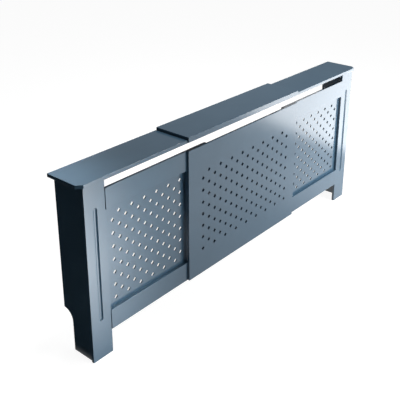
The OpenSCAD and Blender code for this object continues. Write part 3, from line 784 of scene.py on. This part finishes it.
floor_reach = 15
floor_level = -0.0004
floor_mesh = bpy.data.meshes.new("floor")
floor_mesh.from_pydata(
    [(x * floor_reach, y * floor_reach, floor_level) for x, y in ((-1, -1), (1, -1), (1, 1), (-1, 1))],
    [], [(0, 1, 2, 3)],
)
floor = bpy.data.objects.new("floor", floor_mesh)
bpy.context.scene.collection.objects.link(floor)
white_sheet = bpy.data.materials.new("white_sheet")
white_sheet.use_nodes = True
tree = white_sheet.node_tree
tree.nodes.remove(tree.nodes["Principled BSDF"])
seen, gloss = light_path(tree)
sheet_diffuse = add(tree, "ShaderNodeBsdfDiffuse", Color=(0.30, 0.30, 0.30, 1))
sheet_light = add(tree, "ShaderNodeEmission", Strength=0.92)
sheet_seen = add(tree, "ShaderNodeAddShader")
tree.links.new(sheet_diffuse.outputs[0], sheet_seen.inputs[0])
tree.links.new(sheet_light.outputs[0], sheet_seen.inputs[1])
where = add(tree, "ShaderNodeSeparateXYZ")
tree.links.new(add(tree, "ShaderNodeNewGeometry").outputs["Position"], where.inputs[0])
along, away = where.outputs["X"], where.outputs["Y"]

# How brightly each part of the sheet glows in the gloss, painting reflections on the cabinet: two patches
# with slanting edges, the foot of the right unit, and the ground in front, all dark beyond the left end.
left_slope = 0.638
right_slope = 0.2
left_slant = plus(tree, along, times(tree, away, left_slope))
left_fade = ramp(tree, left_slant, start=-0.98, stop=-0.36, low=2.6, high=0.0, change="LINEAR")
left_reach = ramp(tree, away, start=-0.65, stop=-0.07, low=1.0, high=0.0, change="LINEAR")
left_patch = times(tree, times(tree, left_fade, left_fade), left_reach)
right_slant = plus(tree, along, times(tree, away, right_slope))
right_patch = ramp(tree, right_slant, start=1.42, stop=1.64, low=0.0, high=5.5)
right_foot = times(
    tree,
    ramp(tree, along, start=0.4, stop=1.1, low=0.0, high=0.9),
    ramp(tree, away, start=-0.9, stop=-0.2, low=0.0, high=1.0),
)
ground = ramp(tree, away, start=-0.9, stop=-0.1, low=1.5, high=0.9)
# Painted reflections: the sheet's glow in the gloss, cut to dark beyond the left end as painted shade.
painted_reflection_level = plus(tree, plus(tree, plus(tree, left_patch, right_patch), right_foot), ground)
painted_reflection_level = times(tree, painted_reflection_level, ramp(tree, along, start=-1.015, stop=-0.975, low=0.0, high=1.0))
# An emission seen only in the gloss, which paints these reflections onto the cabinet's paint.
painted_reflection_glow = add(tree, "ShaderNodeEmission")
tree.links.new(painted_reflection_level, painted_reflection_glow.inputs["Strength"])
dim_sheet = add(tree, "ShaderNodeBsdfDiffuse", Color=(0.25, 0.25, 0.25, 1))
unseen = joined(tree, gloss, dim_sheet.outputs[0], painted_reflection_glow.outputs[0])
sheet = joined(tree, seen, unseen, sheet_seen.outputs[0])
tree.links.new(sheet, tree.nodes["Material Output"].inputs["Surface"])
floor_mesh.materials.append(white_sheet)


# Background: white behind the cabinet, and dim as a light on it.
# In the gloss it goes from dark at the cabinet's left to grey at its right, and dims again far to the right.
world = bpy.data.worlds.new("studio")
bpy.context.scene.world = world
world.use_nodes = True
tree = world.node_tree
seen, gloss = light_path(tree)
way = add(tree, "ShaderNodeSeparateXYZ")
tree.links.new(add(tree, "ShaderNodeTexCoord").outputs["Generated"], way.inputs[0])
gloss_level = ramp(tree, way.outputs["X"], start=-0.5, stop=0.5, low=0.02, high=0.75)
for start, stop, drop in ((0.54, 0.62, -0.41), (0.76, 0.83, -0.12)):
    gloss_level = plus(tree, gloss_level, ramp(tree, way.outputs["X"], start, stop, low=0.0, high=drop))
dim_level = ramp(tree, way.outputs["X"], start=-0.7, stop=0.5, low=0.08, high=0.17)
unseen_level = plus(tree, dim_level, times(tree, gloss, minus(tree, gloss_level, dim_level)))
sky_level = sums(tree, "MAXIMUM", unseen_level, seen)
tree.links.new(sky_level, tree.nodes["Background"].inputs["Strength"])
tree.nodes["Background"].inputs["Color"].default_value = (1, 1, 1, 1)


# Lights: soft white lamps. One hangs high over the front edge of the shelves, three narrow ones even out the
# left end, and two stand in front of the middle and the right. The two lowest are kept out of the gloss.
def softbox(name, place, target, width, height, power, beam=180, in_gloss=True):
    """A flat lamp that faces its target and throws its light within the beam's angle."""
    data = bpy.data.lights.new(name, "AREA")
    data.shape = "RECTANGLE"
    data.size = width
    data.size_y = height
    data.energy = power
    data.spread = math.radians(beam)
    made = bpy.data.objects.new(name, data)
    bpy.context.scene.collection.objects.link(made)
    made.location = place
    made.rotation_euler = (Vector(target) - Vector(place)).to_track_quat("-Z", "Y").to_euler()
    made.visible_camera = False
    made.visible_glossy = in_gloss


softbox("overhead", place=(0.9, -0.3, 3.1), target=(0.1, -0.1, 0.6), width=0.25, height=1.0, power=55)
softbox(
    "left_end_top", place=(-0.5, 0.35, 1.9), target=(-1.15, 0, 0.8), width=0.2, height=0.2, power=0.9,
    beam=34,
)
softbox(
    "left_front", place=(-0.35, -1.5, 0.8), target=(-1.05, 0, 0.49), width=0.5, height=0.3, power=1.1,
    beam=40,
)
softbox(
    "left_foot", place=(-0.6, -1.1, 0.12), target=(-1.08, 0, 0.0), width=0.5, height=0.1, power=0.62,
    beam=48, in_gloss=False,
)
softbox("front", place=(0.75, -2.2, 0.7), target=(0.0, 0, 0.4), width=0.9, height=0.3, power=28)
softbox(
    "right_front", place=(1.3, -1.05, 0.35), target=(0.75, 0, 0.2), width=0.6, height=0.3, power=12.5,
    in_gloss=False,
)
